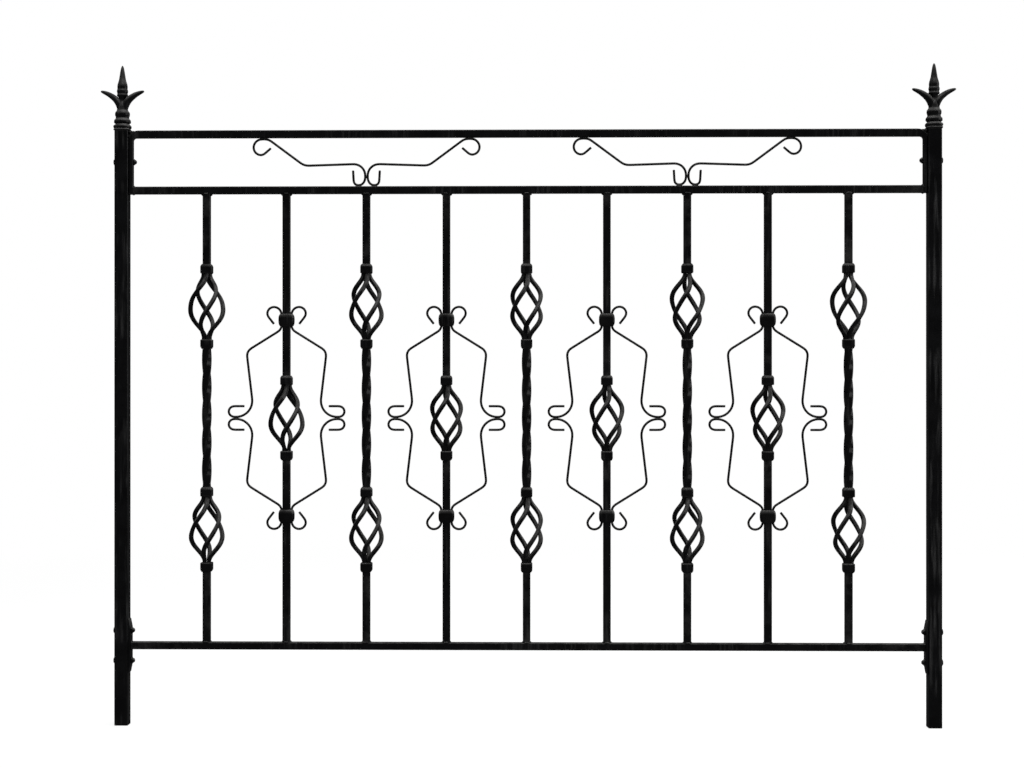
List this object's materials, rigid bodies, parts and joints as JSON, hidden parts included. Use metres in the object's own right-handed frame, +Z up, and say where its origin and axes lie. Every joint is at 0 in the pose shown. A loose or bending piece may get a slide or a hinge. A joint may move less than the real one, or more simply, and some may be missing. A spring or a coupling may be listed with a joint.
{
  "type": "fence panel",
  "caption": "Wrought iron fence panel with square posts, spear finials, basket and twisted bars, and bent wire scrolls between three rails.",
  "frame": {"origin": "centre of the left post's foot, on the ground plane", "axes": "+X along the fence to the right post, +Y from front to back, +Z up"},
  "size_m": [1.4404, 0.0618, 1.113],
  "materials": {
    "bar_paint": "black semi-gloss paint on forged steel bar and wire",
    "post_paint": "black semi-gloss paint on square steel tube",
    "cast_paint": "black semi-gloss paint on cast pieces",
    "bolt_paint": "black paint over bolts and domed nuts"
  },
  "bodies": {
    "root": {"bar_1": "bar_paint", "bar_2": "bar_paint", "bar_3": "bar_paint", "bar_4": "bar_paint", "bar_5": "bar_paint", "bar_6": "bar_paint", "bar_7": "bar_paint", "bar_8": "bar_paint", "bar_9": "bar_paint", "basket_1": "bar_paint", "basket_2": "bar_paint", "basket_3": "bar_paint", "basket_4": "bar_paint", "basket_5": "bar_paint", "basket_6": "bar_paint", "basket_7": "bar_paint", "basket_8": "bar_paint", "basket_9": "bar_paint", "bolts": "bolt_paint", "bottom_rail": "bar_paint", "clamps_2": "cast_paint", "clamps_4": "cast_paint", "clamps_6": "cast_paint", "clamps_8": "cast_paint", "left_finial": "cast_paint", "left_post": "post_paint", "middle_rail": "bar_paint", "plates": "bar_paint", "right_finial": "cast_paint", "right_post": "post_paint", "scroll_2_left": "bar_paint", "scroll_2_right": "bar_paint", "scroll_4_left": "bar_paint", "scroll_4_right": "bar_paint", "scroll_6_left": "bar_paint", "scroll_6_right": "bar_paint", "scroll_8_left": "bar_paint", "scroll_8_right": "bar_paint", "top_rail": "bar_paint", "top_scroll_3_left": "bar_paint", "top_scroll_3_right": "bar_paint", "top_scroll_7_left": "bar_paint", "top_scroll_7_right": "bar_paint"}
  },
  "joints": []
}
